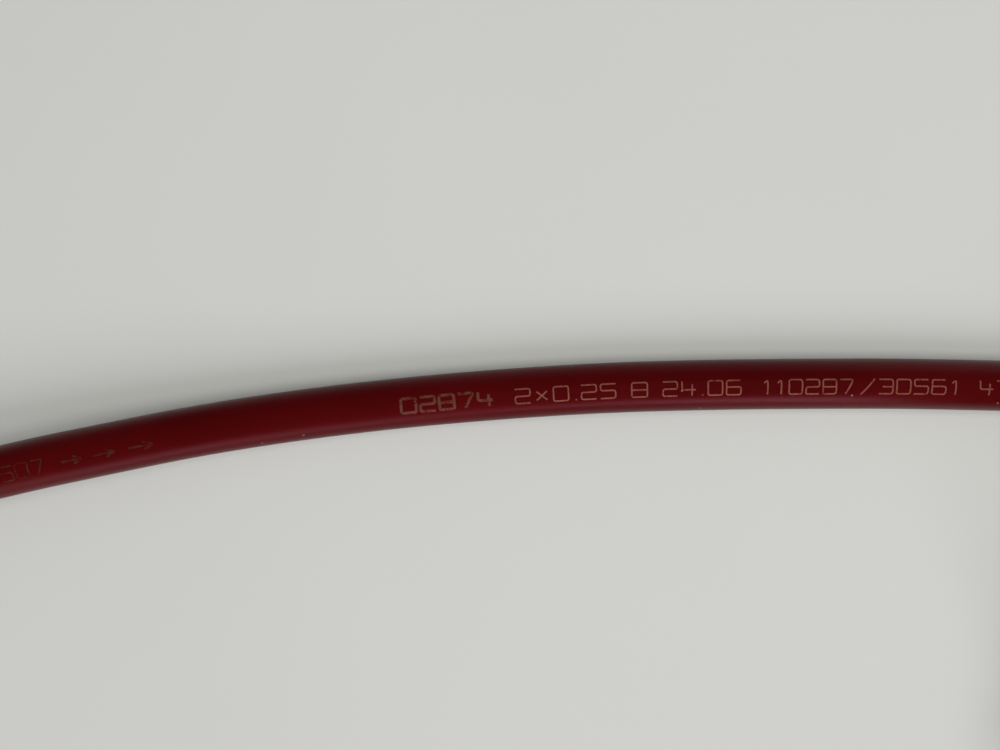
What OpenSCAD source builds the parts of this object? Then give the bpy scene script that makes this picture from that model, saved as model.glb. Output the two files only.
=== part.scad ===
// Balanced three-pin audio cable: a round jacketed cable laid out over part of its length, the rest wound
// in a tied coil, with a pin connector (the plug) on one end and a latching socket connector on the other.
// Millimetres, +Z up. The cable lies on z = 0, and the origin is the middle of the two connectors' footprint.

/* [Cable] */
// Outside diameter of the jacket
cable_d = 8; // [7.6:0.1:8]
// Diameter of an insulated core
core_d = 1.8; // [1.4:0.1:1.9]
// Diameter of a bare conductor
wire_d = 1.1; // [0.8:0.1:1.2]

/* [Coil] */
// Whole turns in the coil, which has a half turn more
coil_turns = 8; // [6:1:9]
// Layers of turns
coil_layers = 4; // [2, 4]
// Distance between the middle lines of neighbouring turns
turn_pitch = 8.5; // [8.5:0.1:8.8]

/* [Ties] */
// Width of a hook-and-loop strap
tie_w = 14; // [10:1:20]
// Thickness of a strap
tie_t = 1.2; // [1:0.1:1.4]

/* [Connector bodies] */
// Outside diameter of both shells
shell_d = 19; // [18.8:0.1:19.4]
// Outside diameter of the socket's barrel
barrel_d = 15.9; // [15.8:0.05:15.95]
// Bore of the plug's cup
cup_d = 16.1; // [16.05:0.05:16.2]
// Depth of the plug's cup
cup_depth = 15; // [14:0.5:16]
// Length of the plug from boot to mouth
plug_len = 78; // [78:0.5:80]
// Length of the socket from boot to face
socket_len = 77; // [77:0.5:79]

/* [Contacts] */
// Diameter of a contact pin
pin_d = 2.4; // [2.3:0.05:2.4]
// Diameter of the circle the contacts stand on
contact_circle = 8; // [7.9:0.05:8.1]
// How far a pin stands out of the cup's floor
pin_reach = 12; // [11:0.5:12.5]

/* [Latch] */
// How far the latch goes down when it is pressed
latch_travel = 1; // [0.8:0.1:1]
// How far the hook stands proud of the barrel
hook_proud = 0.8; // [0.6:0.1:0.8]

/* [Gland nut and boot] */
// Pitch of the nut's thread
thread_pitch = 1.5; // [1:0.25:2]
// Flutes around the nut
nut_flutes = 18; // [12:1:24]
// Grooves that let the boot bend
boot_grooves = 6; // [4:1:6]

/* [Hidden] */
$fn = 64;

cable_r = cable_d / 2;
fit = 0.02;      // gap of pieces that are pushed together
running = 0.05;  // gap of a thread or a guide
cut = 0.1;       // how far a cutter runs past a face

// Stations along a connector, from the boot's cable end at 0 to the mating face
nut_start = 26;
lip_end = 30;
boot_end = 33;
spigot_start = 34;
jacket_cut = 45;
body_start = 44;
cup_start = 50;
insert_start = 55;
jacket_straight = 12; // straight cable behind the boot

// Radii of a connector
spigot_r = 8.2;
bore_r = 7;
shell_r = shell_d / 2;
barrel_r = barrel_d / 2;
cup_r = cup_d / 2;
chuck_r = bore_r - 0.1;
insert_r = bore_r - 0.05;
pin_r = pin_d / 2;
socket_r = pin_r + 0.05;
sleeve_r = 1.5;    // a contact's thick part, held by the insert
shank_r = 0.85;    // the thin part between a socket and its solder cup
nut_r = shell_r - 0.1;
boot_neck_r = 7.6;
boot_flange_r = 8.4;
boot_bore_r = cable_r + 0.08;

// The plug's floor and the shoulder that stops its insert
cup_floor = plug_len - cup_depth;
insert_stop = cup_floor - 1.5;
boss_r = 6.2;

// The socket's barrel and latch
barrel_start = 61;
barrel_lead = 70.5;     // the barrel is full size from here to its face
barrel_relief = 0.2;    // and a little slimmer behind
face_recess = 0.5;
latch_w = 4.4;         // width of the latch's plate
button_w = 5.2;
hook_w = 4.6;
slot_gap = 0.3;        // side gap of the button and the hook in their slots
plate_low = 5.85;
plate_high = 6.45;
channel_floor = plate_low - latch_travel - 0.1;
button = [50, 59.9];
hook = [64.8, 68.6];
latch_front = 69.4;
spring_at = 57.5;
spring_floor = 1.95;
spring_r = 0.9;
spring_wire_r = 0.18;
spring_coils = 5;

// Places of the two connectors: the axes lie one shell radius above the surface
plug_at = [-87, plug_len / 2, shell_r];
socket_x = -(plug_at[0] - shell_r);
socket_at = [socket_x, 8, shell_r];

// Middle line of the cable from the plug's straight end to the coil, laid on the surface in a broad arc
run_route = [
    [-87, 51, 9.5], [-87, 55, 9.5], [-87, 59, 9.5], [-85.8, 69, 9.5], [-82, 79, 9.5],
    [-75.2, 88, 9.4], [-65.5, 95.8, 9.3], [-54, 100.8, 9], [-48, 102.3, 8.7], [-40, 104.2, 8.1],
    [-32, 105.9, 7.4], [-16, 109.1, 5.9], [0, 111.6, 4.8], [16, 113.5, 4.2], [32, 114.9, 4],
    [48, 115.9, 4], [64, 116.4, 4], [80, 116.6, 4], [96, 116.6, 4], [112, 116.3, 4],
    [128, 116, 4.1], [144, 115.7, 4.5], [158, 115.6, 5.1], [166, 115.6, 5.25], [170, 115.6, 5.25],
    [174, 115.6, 5.25]
];
// Middle line from the top of the coil down to the socket's straight end
tail_route = [
    [174, 8, 30.75], [171, 8, 30.75], [168, 8, 30.75], [158, 8, 29.4], [150, 8, 26.7],
    [142, 8, 22.5], [134, 8, 17.8], [126, 8, 13.5], [120, 8, 10.9], [115.5, 8, 9.7],
    [112.5, 8, 9.5], [110.5, 8, 9.5], [108.5, 8, 9.5]
];
run_sides = 12;
coil_sides = 6;
loop_rings = 24;

// The coil: its outer turn joins the run and the tail in straight ends
coil_end = run_route[len(run_route) - 1];
coil_straight = 8;
coil_x = coil_end[0] + coil_straight;
coil_r = (coil_end[1] - tail_route[0][1]) / 2;
coil_y = coil_end[1] - coil_r;
coil_low = coil_end[2];
coil_n = coil_turns + 0.5;
layer_turns = coil_n / coil_layers;
coil_inner_r = coil_r - turn_pitch * layer_turns;
coil_top = coil_low + turn_pitch * (coil_layers - 1);

// ---- points and tubes ----

function unit(v) = v / norm(v);
function ease(t) = t <= 0 ? 0 : t >= 1 ? 1 : t * t * (3 - 2 * t);

// A smooth curve through the route's points, with n steps to each
function curve_point(a, b, c, d, t) =
    ((2 * b) + (c - a) * t + (2 * a - 5 * b + 4 * c - d) * t * t + (3 * b - a - 3 * c + d) * t * t * t) / 2;
function smooth_route(p, n) = [
    for (i = [0 : len(p) - 2], k = [0 : n - 1])
        let (a = i == 0 ? 2 * p[0] - p[1] : p[i - 1],
             d = i == len(p) - 2 ? 2 * p[i + 1] - p[i] : p[i + 2])
            curve_point(a, p[i], p[i + 1], d, k / n),
    p[len(p) - 1]
];

// Heading of a path at its point i
function heading(p, i) = unit(p[min(i + 1, len(p) - 1)] - p[max(i - 1, 0)]);

// One closed tube along a path, with its rings square to it; r is one radius or a list of them
module tube(path, r, sides, up = [0, 0, 1]) {
    n = len(path);
    radii = is_list(r) ? r : [for (p = path) r];
    rings = [
        for (i = [0 : n - 1])
            let (t = heading(path, i), side = unit(cross(up, t)), top = cross(t, side))
                for (k = [0 : sides - 1])
                    let (a = 360 * k / sides)
                        path[i] + radii[i] * (cos(a) * side + sin(a) * top)
    ];
    walls = [
        for (i = [0 : n - 2], k = [0 : sides - 1])
            let (a = i * sides + k, b = i * sides + (k + 1) % sides)
                each [[a, a + sides, b], [b, a + sides, b + sides]]
    ];
    ends = [
        for (k = [1 : sides - 2])
            each [[0, k, k + 1], [(n - 1) * sides, (n - 1) * sides + k + 1, (n - 1) * sides + k]]
    ];
    polyhedron(points = rings, faces = concat(walls, ends), convexity = 10);
}

// ---- the coil ----

// Where the coil's middle line is after so many turns: it spirals in and out again, a layer at a time
function layer_part(turn) = let (u = turn / layer_turns) abs(u - 2 * round(u / 2));
function coil_radius(turn) = coil_r - (coil_r - coil_inner_r) * layer_part(turn);
function climbed(turn, k = 1) =
    k >= coil_layers ? 0 : ease((turn - k * layer_turns) * 2 + 0.5) + climbed(turn, k + 1);
function coil_point(turn) = [
    coil_x + coil_radius(turn) * cos(90 - 360 * turn),
    coil_y + coil_radius(turn) * sin(90 - 360 * turn),
    coil_low + turn_pitch * climbed(turn)
];
coil_path = concat(
    [coil_end, coil_end + [coil_straight / 2, 0, 0]],
    [for (i = [0 : coil_n * loop_rings]) coil_point(i / loop_rings)],
    [[coil_x - coil_straight / 2, coil_y - coil_r, coil_top], [coil_x - coil_straight, coil_y - coil_r, coil_top]]
);

// Least gap of the wound tube to itself, on the middle line's points at least half a turn apart
coil_gap = min([
    for (i = [0 : len(coil_path) - 1])
        for (j = [i + loop_rings / 2 : 1 : len(coil_path) - 1])
            norm(coil_path[i] - coil_path[j])
]) - cable_d;
echo(least_gap_of_the_coil = coil_gap);

// Real length of the cable, cut end to cut end
function path_length(p) = len(p) < 2 ? 0 : sum([for (i = [1 : len(p) - 1]) norm(p[i] - p[i - 1])]);
function sum(v, i = 0) = i >= len(v) ? 0 : v[i] + sum(v, i + 1);
echo(cable_length = path_length(smooth_route(run_route, 2)) + path_length(coil_path)
    + path_length(smooth_route(tail_route, 2)) + 2 * (jacket_cut + jacket_straight));

// ---- places ----

module at_plug() {
    translate(plug_at) rotate([90, 0, 0]) children();
}
module at_socket() {
    translate(socket_at) rotate([90, 0, -90]) children();
}
// The three contacts, 1 and 2 above and 3 below; hand is -1 on the plug and 1 on the socket
function contact_at(k, hand) = contact_circle / 2 * (k == 1 ? [hand * cos(45), sin(45)]
    : k == 2 ? [-hand * cos(45), sin(45)] : [0, -1]);
module at_contacts(hand) {
    for (k = [1 : 3])
        translate(contact_at(k, hand)) children();
}

// A profile of distance along the axis against height, drawn across the connector's width
module across(width) {
    rotate([0, -90, 0]) linear_extrude(height = width, center = true) children();
}
// A rectangle with round corners made of true arcs
module round_rect(low, high, r) {
    size = high - low;
    translate(low + [r, 0]) square(size - [2 * r, 0]);
    translate(low + [0, r]) square(size - [0, 2 * r]);
    for (x = [low[0] + r, high[0] - r], y = [low[1] + r, high[1] - r])
        translate([x, y]) circle(r = r);
}
// A slot through the top of a shell
module top_slot(width, span, low) {
    rotate([-90, 0, 0])
        translate([0, 0, low])
            linear_extrude(height = shell_d)
                round_rect([-width / 2, -span[1]], [width / 2, -span[0]], 0.8);
}

// ---- shells ----

// Threaded spigot, body with a waist for the fingers, and bore, the same on both shells
module shell_blank(body_end) {
    waist_r = 12;
    waist_deep = 0.8;
    difference() {
        rotate_extrude() polygon([
            [bore_r, spigot_start], [spigot_r - 0.4, spigot_start], [spigot_r, spigot_start + 0.6],
            [spigot_r, body_start - 1], [spigot_r - 0.5, body_start - 0.8], [spigot_r - 0.5, body_start],
            [shell_r - 0.5, body_start], [shell_r, body_start + 0.6],
            [shell_r, body_end - 0.8], [shell_r - 0.7, body_end], [bore_r, body_end]
        ]);
        rotate_extrude()
            translate([shell_r + waist_r - waist_deep, body_start + 6.4]) circle(r = waist_r);
    }
}

module plug_shell() {
    window = [plug_len - 7.1, plug_len - 2.7];
    color("silver") at_plug() difference() {
        union() {
            difference() {
                union() {
                    shell_blank(plug_len);
                    // shoulder that stops the insert
                    translate([0, 0, insert_stop]) cylinder(r = bore_r + 0.5, h = cup_depth / 4);
                }
                translate([0, 0, cup_floor]) cylinder(r = cup_r, h = cup_depth + cut);
                translate([0, 0, insert_stop - cut]) cylinder(r = boss_r, h = cup_depth);
                translate([0, 0, plug_len - 0.6])
                    cylinder(r1 = cup_r, r2 = cup_r + 0.6 + cut, h = 0.6 + cut);
            }
            // key that guides the socket's barrel
            translate([-1.1, -cup_r - 0.3, cup_floor - 0.5]) cube([2.2, 1.35, cup_depth - 1.5]);
        }
        // lead-in for the hook and the window it springs into
        translate([-3, 0, plug_len - 10]) cube([6, cup_r + 0.7, 10 + cut]);
        top_slot(5.4, window, 5);
    }
}

module socket_shell() {
    color("silver") at_socket() difference() {
        union() {
            shell_blank(barrel_start);
            rotate_extrude() polygon([
                [bore_r, barrel_start - 1], [barrel_r + 0.6, barrel_start - 1],
                [barrel_r + 0.6, barrel_start], [barrel_r - barrel_relief, barrel_start + 0.8],
                [barrel_r - barrel_relief, barrel_lead], [barrel_r, barrel_lead],
                [barrel_r, socket_len - 0.5], [barrel_r - 0.4, socket_len], [bore_r, socket_len]
            ]);
        }
        top_slot(button_w + 2 * slot_gap, button + [-slot_gap, slot_gap], 5);
        top_slot(hook_w + 2 * slot_gap, hook + [-2, 1.6], 5);
        // keyway for the plug's key
        translate([-1.4, -barrel_r - 1, barrel_start + 2]) cube([2.8, 2.4, socket_len]);
    }
}

// ---- inserts and contacts ----

module plug_insert() {
    color("#202226") at_plug() difference() {
        rotate_extrude() polygon([
            [0, insert_start], [insert_r - 0.6, insert_start], [insert_r, insert_start + 0.6],
            [insert_r, insert_stop - fit], [boss_r - 0.05, insert_stop - fit],
            [boss_r - 0.05, cup_floor], [0, cup_floor]
        ]);
        at_contacts(-1) translate([0, 0, insert_start - cut])
            cylinder(r = sleeve_r + fit, h = cup_floor - insert_start + 2 * cut);
        // flat that sets it the right way up against the shell
        translate([-2, -insert_r - 1, insert_start - cut]) cube([4, 1.4, 3]);
    }
}

// A solder cup, open on the side that faces out
module solder_cup(out) {
    difference() {
        cylinder(r = sleeve_r, h = insert_start - cup_start + 0.5);
        translate([0, 0, -cut]) cylinder(r = 1, h = 4);
        rotate([0, 0, out]) translate([0.2, -2, -cut]) cube([3, 4, 2.6]);
    }
}

module plug_pins() {
    tip = 0.8;
    color("goldenrod") at_plug() for (k = [1 : 3])
        translate([for (c = contact_at(k, -1)) c]) {
            translate([0, 0, cup_start])
                solder_cup(atan2(contact_at(k, -1)[1], contact_at(k, -1)[0]));
            translate([0, 0, insert_start]) cylinder(r = sleeve_r, h = cup_floor - insert_start);
            translate([0, 0, cup_floor - 1]) cylinder(r = pin_r, h = pin_reach + 1 - tip);
            translate([0, 0, cup_floor + pin_reach - tip])
                cylinder(r1 = pin_r, r2 = pin_r - tip / 2, h = tip);
        }
}

module socket_insert() {
    face = socket_len - face_recess;
    lead_in = 1.5;
    color("#202226") at_socket() difference() {
        rotate_extrude() polygon([
            [0, insert_start], [insert_r - 0.6, insert_start], [insert_r, insert_start + 0.6],
            [insert_r, face - 0.4], [insert_r - 0.4, face], [0, face]
        ]);
        at_contacts(1) {
            translate([0, 0, insert_start - cut]) cylinder(r = shank_r + fit, h = 8);
            translate([0, 0, insert_start + 6]) cylinder(r = sleeve_r + fit, h = face - lead_in - insert_start - 6);
            // cone that leads a pin in
            translate([0, 0, face - lead_in - fit])
                cylinder(r1 = socket_r + 0.05, r2 = socket_r + 0.65, h = lead_in + 2 * fit);
        }
        // channel of the latch, wider below the button, and pocket of its spring
        translate([-latch_w / 2 - 0.2, channel_floor, insert_start - cut])
            cube([latch_w + 0.4, shell_r, latch_front + 0.6 - insert_start]);
        translate([-button_w / 2 - slot_gap, channel_floor + 0.4, insert_start - cut])
            cube([button_w + 2 * slot_gap, shell_r, button[1] + slot_gap - insert_start + cut]);
        translate([0, channel_floor + cut, spring_at]) rotate([90, 0, 0])
            cylinder(r = spring_r + spring_wire_r + 0.15, h = channel_floor + cut - spring_floor);
    }
}

module socket_contacts() {
    top = socket_len - face_recess - 1.5;
    color("goldenrod") at_socket() for (k = [1 : 3])
        translate([for (c = contact_at(k, 1)) c]) {
            translate([0, 0, cup_start]) intersection() {
                solder_cup(atan2(contact_at(k, 1)[1], contact_at(k, 1)[0]));
                cylinder(r = sleeve_r, h = insert_start - cup_start - fit);
            }
            translate([0, 0, insert_start - 0.5]) cylinder(r = shank_r, h = 7);
            difference() {
                translate([0, 0, insert_start + 6 + fit]) cylinder(r = sleeve_r, h = top - insert_start - 6 - 2 * fit);
                translate([0, 0, socket_len - 14]) cylinder(r = socket_r, h = 14);
            }
        }
}

// ---- latch ----

module socket_latch() {
    hook_top = barrel_r + hook_proud;
    color("#8f9296") at_socket() {
        across(latch_w) {
            translate([button[0], plate_low]) square([latch_front - button[0], plate_high - plate_low]);
        }
        // hook: a ramp in front and a steep face behind
        across(hook_w) polygon([
            [hook[0], plate_low], [hook[1], plate_low], [hook[1], plate_high + 0.4],
            [hook[0] + 1.6, hook_top], [hook[0] + 0.2, hook_top], [hook[0], hook_top - 0.2]
        ]);
        // rib under the bridge between the slots, which stops the latch
        across(2.2) polygon([
            [button[1] - 0.5, plate_low], [hook[0] + 0.5, plate_low],
            [hook[0] + 0.5, bore_r - 0.15], [button[1] - 0.5, bore_r - 0.15]
        ]);
        // thumb button with grip ridges, higher in front
        across(button_w) difference() {
            polygon([
                [button[0], plate_high - 0.1], [button[1], plate_high - 0.1], [button[1], shell_r + 0.5],
                [button[1] - 0.6, shell_r + 0.9], [button[0] + 0.8, shell_r + 0.5], [button[0], shell_r - 0.2]
            ]);
            for (i = [0 : 3])
                translate([button[0] + 2.2 + i * 1.7, shell_r + 0.85 + i * 0.05]) circle(r = 0.45);
        }
    }
}

module latch_spring() {
    rise = plate_low - spring_floor - 2 * spring_wire_r - 0.04;
    steps = spring_coils * 8;
    path = [
        for (i = [0 : steps])
            [spring_r * cos(360 * i / 8), spring_r * sin(360 * i / 8), spring_wire_r + 0.02 + rise * i / steps]
    ];
    color("gainsboro") at_socket()
        translate([0, spring_floor, spring_at]) rotate([-90, 0, 0])
            tube(path, spring_wire_r, 6);
}

// ---- strain relief, the same on both connectors ----

// Collet that grips the jacket: a collar, four tapered fingers and teeth inside
module chuck() {
    teeth = 5;
    tooth = 1.8;
    color("#d8d4c8") difference() {
        rotate_extrude() polygon(concat(
            [[cable_r + fit, boot_end + running], [chuck_r, boot_end + running],
             [chuck_r, boot_end + 3.5], [chuck_r - 0.6, boot_end + 4], [5.6, body_start],
             [cable_r + 0.35, body_start]],
            [for (i = [0 : teeth - 1])
                each [[cable_r + fit, body_start - 0.4 - i * tooth],
                      [cable_r + 0.35, body_start - 1.2 - i * tooth]]],
            [[cable_r + fit, body_start - 0.4 - teeth * tooth]]
        ));
        for (a = [0, 90])
            rotate([0, 0, a]) translate([-0.5, -bore_r, boot_end + 4.6]) cube([1, 2 * bore_r, 10]);
    }
}

// Fluted nut: a lip holds the boot's flange, and the bore runs on the spigot's thread
module nut() {
    nut_end = body_start - 0.1;
    color("#2b2d31") difference() {
        rotate_extrude() polygon([
            [boot_neck_r + running, nut_start], [nut_r - 0.9, nut_start], [nut_r, nut_start + 1.2],
            [nut_r, nut_end - 0.5], [nut_r - 0.4, nut_end], [spigot_r + running, nut_end],
            [spigot_r + running, boot_end + 0.2], [boot_flange_r + 0.15, boot_end + 0.2],
            [boot_flange_r + 0.15, lip_end], [boot_neck_r + running, lip_end]
        ]);
        for (i = [0 : nut_flutes - 1])
            rotate([0, 0, 360 * i / nut_flutes])
                translate([nut_r + 0.45, 0, nut_start + 2.2]) cylinder(r = 0.9, h = nut_end - nut_start - 4, $fn = 24);
    }
}

// Rubber boot: a tapered sleeve with grooves around it, a neck and a flange
module boot() {
    taper_end = 24;
    tip_r = 5.4;
    root_r = 7;
    groove_w = 1.2;
    groove_deep = 0.9;
    groove_step = 3;
    function taper(z) = tip_r + (root_r - tip_r) * z / taper_end;
    color("#17181b") rotate_extrude() polygon(concat(
        [[boot_bore_r, 0], [tip_r - 0.7, 0], [tip_r - 0.2, 0.2], [taper(0.9), 0.9]],
        [for (i = [0 : boot_grooves - 1])
            let (a = 3 + i * groove_step, b = a + groove_w)
                each [[taper(a), a], [taper(a) - groove_deep, a + 0.15],
                      [taper(b) - groove_deep, b - 0.15], [taper(b), b]]],
        [[root_r, taper_end], [boot_neck_r, taper_end + 0.8], [boot_neck_r, lip_end + running],
         [boot_flange_r, lip_end + running], [boot_flange_r, boot_end], [boot_bore_r, boot_end]]
    ));
}

// ---- cable ends inside the connectors ----

module jacket_end() {
    color("#7c1420") translate([0, 0, -jacket_straight])
        cylinder(r = cable_r, h = jacket_cut + jacket_straight);
}

// One lead from the jacket's cut face to its solder cup: covered to the bend's end, bare in the cup
module lead(k, hand, cover_r, bare_r) {
    steps = 8;
    cup = contact_at(k, hand);
    root = unit(cup) * 1.55;
    bend = [jacket_cut + 0.5, cup_start - 0.8];
    covered = concat(
        [[root[0], root[1], jacket_cut + fit]],
        [
            for (i = [0 : steps])
                let (t = i / steps, out = root + (cup - root) * ease(t))
                    [out[0], out[1], bend[0] + (bend[1] - bend[0]) * t]
        ]
    );
    bare = [[cup[0], cup[1], bend[1] + 0.02], [cup[0], cup[1], cup_start + 3.5]];
    radii = concat([for (p = covered) cover_r], [for (p = bare) bare_r]);
    tube(concat(covered, bare), radii, 10, up = [1, 0, 0]);
}
module cores(hand) {
    for (k = [2, 3]) lead(k, hand, core_d / 2, wire_d / 2);
}

module plug_chuck() { at_plug() chuck(); }
module plug_nut() { at_plug() nut(); }
module plug_boot() { at_plug() boot(); }
module plug_jacket_end() { at_plug() jacket_end(); }
module plug_cores() { color("ivory") at_plug() cores(-1); }
module plug_screen_lead() { color("chocolate") at_plug() lead(1, -1, wire_d / 2 + 0.1, wire_d / 2); }
module socket_chuck() { at_socket() chuck(); }
module socket_nut() { at_socket() nut(); }
module socket_boot() { at_socket() boot(); }
module socket_jacket_end() { at_socket() jacket_end(); }
module socket_cores() { color("ivory") at_socket() cores(1); }
module socket_screen_lead() { color("chocolate") at_socket() lead(1, 1, wire_d / 2 + 0.1, wire_d / 2); }

// ---- free cable ----

module cable_run() {
    color("#7c1420") tube(smooth_route(run_route, 2), cable_r, run_sides);
}
module cable_coil() {
    color("#7c1420") tube(coil_path, cable_r, coil_sides);
}
module cable_tail() {
    color("#7c1420") tube(smooth_route(tail_route, 2), cable_r, run_sides);
}

// ---- ties ----

// A strap round the whole bundle at one side of the coil, with its end pressed down over the outside
module tie_strap(side) {
    gap = 0.3;
    inner = [coil_inner_r - cable_r - gap, tie_t];
    outer = [coil_r + cable_r + gap, coil_top + cable_r + gap];
    overlap_t = 1;
    color("#1d1f24") translate([coil_x, coil_y, 0]) intersection() {
        rotate_extrude(angle = 360) {
            difference() {
                round_rect(inner - [tie_t, tie_t], outer + [tie_t, tie_t], 4.8);
                round_rect(inner, outer, 3.6);
            }
            translate([outer[0] + tie_t / 2, outer[1] * 0.3])
                square([tie_t / 2 + overlap_t, outer[1] * 0.5]);
        }
        translate([side > 0 ? 0 : -coil_r * 2, -tie_w / 2, -cut]) cube([coil_r * 2, tie_w, coil_top * 2]);
    }
}
module tie_strap_near() { tie_strap(-1); }
module tie_strap_far() { tie_strap(1); }

plug_shell();
plug_insert();
plug_pins();
plug_chuck();
plug_nut();
plug_boot();
plug_jacket_end();
plug_cores();
plug_screen_lead();
socket_shell();
socket_insert();
socket_contacts();
socket_latch();
latch_spring();
socket_chuck();
socket_nut();
socket_boot();
socket_jacket_end();
socket_cores();
socket_screen_lead();
cable_run();
cable_coil();
cable_tail();
tie_strap_near();
tie_strap_far();
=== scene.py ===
"""Looks of a three-pin audio cable: a long jacketed cable with printed marks, wound in a tied coil, and the finishes
of the connectors on its two ends. Everything is in metres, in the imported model's own frame."""

import math
import random

import bpy
import numpy as np
from bpy.props import FloatProperty, FloatVectorProperty, IntProperty, PointerProperty
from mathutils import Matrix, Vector


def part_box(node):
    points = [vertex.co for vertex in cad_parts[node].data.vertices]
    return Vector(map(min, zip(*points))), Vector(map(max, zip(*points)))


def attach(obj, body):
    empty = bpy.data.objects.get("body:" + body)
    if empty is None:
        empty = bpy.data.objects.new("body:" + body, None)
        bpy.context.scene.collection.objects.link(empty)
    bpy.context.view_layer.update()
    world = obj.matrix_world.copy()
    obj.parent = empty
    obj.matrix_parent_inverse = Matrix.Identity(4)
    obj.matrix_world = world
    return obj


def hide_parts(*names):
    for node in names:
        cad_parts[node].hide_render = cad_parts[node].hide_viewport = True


bl_info = {
    "name": "Coiled Audio Cable",
    "version": (1, 0, 0),
    "blender": (4, 5, 0),
    "location": "3D View > Sidebar > Audio Cable",
    "description": "Builds the cable, its print and ties, and finishes its two connectors",
    "category": "Object",
}

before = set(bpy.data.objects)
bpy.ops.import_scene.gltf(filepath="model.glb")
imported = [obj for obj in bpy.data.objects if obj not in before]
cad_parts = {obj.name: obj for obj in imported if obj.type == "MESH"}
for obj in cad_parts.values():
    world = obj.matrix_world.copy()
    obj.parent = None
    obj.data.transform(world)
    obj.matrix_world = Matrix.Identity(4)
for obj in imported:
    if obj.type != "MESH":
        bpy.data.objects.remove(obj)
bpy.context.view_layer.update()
MM = 0.001
CABLE_BODY = "cable"

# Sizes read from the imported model
PLUG_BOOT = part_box("plug_boot")
SOCKET_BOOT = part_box("socket_boot")
JACKET_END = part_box("plug_jacket_end")
CABLE_D = JACKET_END[1].x - JACKET_END[0].x
AXIS_Z = (PLUG_BOOT[0].z + PLUG_BOOT[1].z) / 2
PLUG_X = (PLUG_BOOT[0].x + PLUG_BOOT[1].x) / 2
SOCKET_Y = (SOCKET_BOOT[0].y + SOCKET_BOOT[1].y) / 2
PLUG_EXIT = Vector((PLUG_X, PLUG_BOOT[1].y, AXIS_Z))
SOCKET_EXIT = Vector((SOCKET_BOOT[1].x, SOCKET_Y, AXIS_Z))
INSIDE = 27 * MM  # how far the jacket runs on inside each connector
LAID_OUT = (0.06, 0.34)  # where along the cable the laid-out stretch lies

# Middle line from the plug's straight end to the coil, laid on the surface in a broad arc
RUN_ROUTE = [
    (-0.087, 0.051, 0.0095), (-0.087, 0.055, 0.0095), (-0.087, 0.059, 0.0095), (-0.0858, 0.069, 0.0095),
    (-0.082, 0.079, 0.0095), (-0.0752, 0.088, 0.0094), (-0.0655, 0.0958, 0.0093), (-0.054, 0.1008, 0.009),
    (-0.048, 0.1023, 0.0087), (-0.040, 0.1042, 0.0081), (-0.032, 0.1059, 0.0074), (-0.016, 0.1091, 0.0059),
    (0.000, 0.1116, 0.0048), (0.016, 0.1135, 0.0042), (0.032, 0.1149, 0.004), (0.048, 0.1159, 0.004),
    (0.064, 0.1164, 0.004), (0.080, 0.1166, 0.004), (0.096, 0.1166, 0.004), (0.112, 0.1163, 0.004),
    (0.128, 0.116, 0.0041), (0.144, 0.1157, 0.0045), (0.158, 0.1156, 0.0051), (0.166, 0.1156, 0.00525),
    (0.170, 0.1156, 0.00525), (0.174, 0.1156, 0.00525),
]
# Middle line from the top of the coil down to the socket's straight end
TAIL_ROUTE = [
    (0.174, 0.008, 0.03075), (0.171, 0.008, 0.03075), (0.168, 0.008, 0.03075), (0.158, 0.008, 0.0294),
    (0.150, 0.008, 0.0267), (0.142, 0.008, 0.0225), (0.134, 0.008, 0.0178), (0.126, 0.008, 0.0135),
    (0.120, 0.008, 0.0109), (0.1155, 0.008, 0.0097), (0.1125, 0.008, 0.0095), (0.1105, 0.008, 0.0095),
    (0.1085, 0.008, 0.0095),
]

# The coil between them
COIL_TURNS = 8.5
COIL_LAYERS = 4
TURN_PITCH = 8.5 * MM
COIL_STRAIGHT = 8 * MM
COIL_START = Vector(RUN_ROUTE[-1])
COIL_R = (COIL_START.y - TAIL_ROUTE[0][1]) / 2
COIL_X = COIL_START.x + COIL_STRAIGHT
COIL_Y = COIL_START.y - COIL_R
LAYER_TURNS = COIL_TURNS / COIL_LAYERS
COIL_INNER_R = COIL_R - TURN_PITCH * LAYER_TURNS
COIL_TOP = COIL_START.z + TURN_PITCH * (COIL_LAYERS - 1)
COIL_SLACK = 0.16 * MM  # how far a turn strays from its even place
TURN_BACK = 0.02        # softness of the spiral where it turns back


# ---- properties ----


class CableSizes(bpy.types.PropertyGroup):
    """Sizes of the pieces that are modelled here"""

    length: FloatProperty(
        name="Cable length", description="Length of the cable from connector to connector",
        default=2.9, unit="LENGTH")
    ring_step: FloatProperty(
        name="Ring step", description="Distance between the rings of the cable's mesh",
        default=2 * MM, precision=4, unit="LENGTH")
    sides: IntProperty(
        name="Sides", description="Faces around the cable", default=40, min=12)
    print_height: FloatProperty(
        name="Print height", description="Height of the printed marks",
        default=2.25 * MM, precision=5, unit="LENGTH")
    print_stroke: FloatProperty(
        name="Print stroke", description="Width of a printed line",
        default=0.23 * MM, precision=5, unit="LENGTH")
    print_thickness: FloatProperty(
        name="Print thickness", description="Height of the ink above the jacket",
        default=0.025 * MM, precision=6, unit="LENGTH")
    print_period: FloatProperty(
        name="Print period", description="Distance after which the print repeats along the cable",
        default=300 * MM, precision=4, unit="LENGTH")
    tie_width: FloatProperty(
        name="Tie width", description="Width of a hook-and-loop tie",
        default=14 * MM, precision=4, unit="LENGTH")
    tie_thickness: FloatProperty(
        name="Tie thickness", description="Thickness of a tie's tape",
        default=1.1 * MM, precision=5, unit="LENGTH")


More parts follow.
